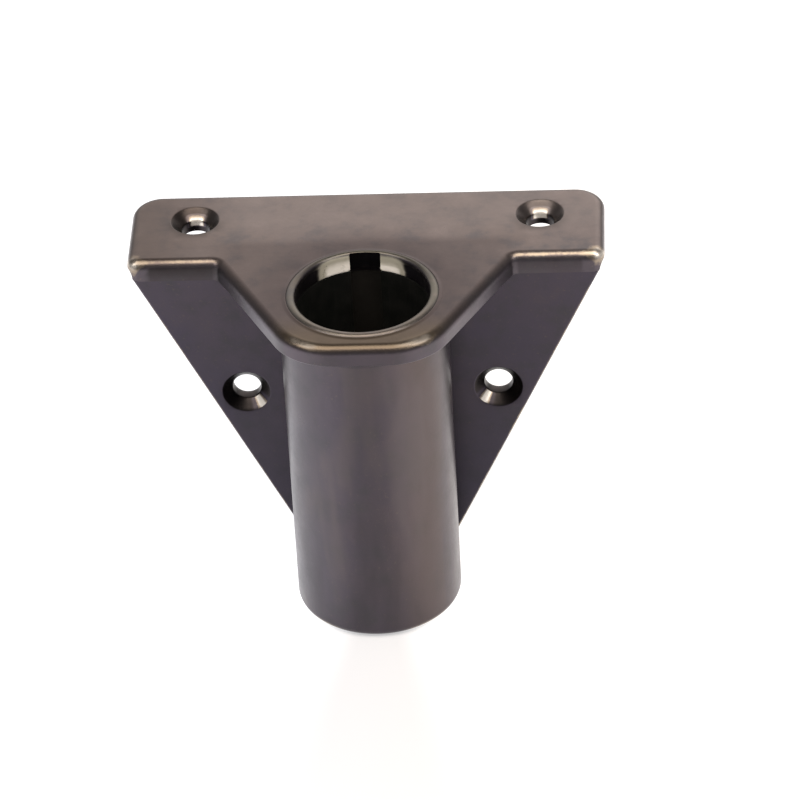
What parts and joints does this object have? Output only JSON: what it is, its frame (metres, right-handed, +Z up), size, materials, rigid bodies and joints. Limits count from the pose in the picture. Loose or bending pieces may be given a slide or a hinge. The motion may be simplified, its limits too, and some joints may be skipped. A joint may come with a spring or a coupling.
{
  "type": "side-mount stanchion base",
  "caption": "Side-mount stanchion base for a boat: vertical socket tube with a keyed mouth, top flange and triangular side plate with countersunk screw holes.",
  "frame": {"origin": "on the socket's axis at the flange's top face, where the stanchion goes in", "axes": "+Z up along the socket, +X along the flange strip, +Y towards the boat, square to the wings"},
  "size_m": [0.0914, 0.0535, 0.0704],
  "materials": {
    "cast_bronze_top": "dark oxidised bronze, satin, brown-grey",
    "cast_bronze": "dark oxidised bronze, satin, purple-grey",
    "worn_ring": "bronze worn bright in the bore, dull outside",
    "black_nylon": "matte black nylon",
    "braze": "brazed fillet under the same dark finish"
  },
  "bodies": {
    "root": {"top_flange": "cast_bronze_top", "left_wing": "cast_bronze", "right_wing": "cast_bronze", "socket_tube": "cast_bronze", "mouth_ring": "worn_ring", "socket_liner": "black_nylon", "socket_floor": "cast_bronze", "collar_fillet": "braze", "left_wing_fillet": "braze", "right_wing_fillet": "braze", "left_flange_fillet": "braze", "right_flange_fillet": "braze"}
  },
  "joints": []
}
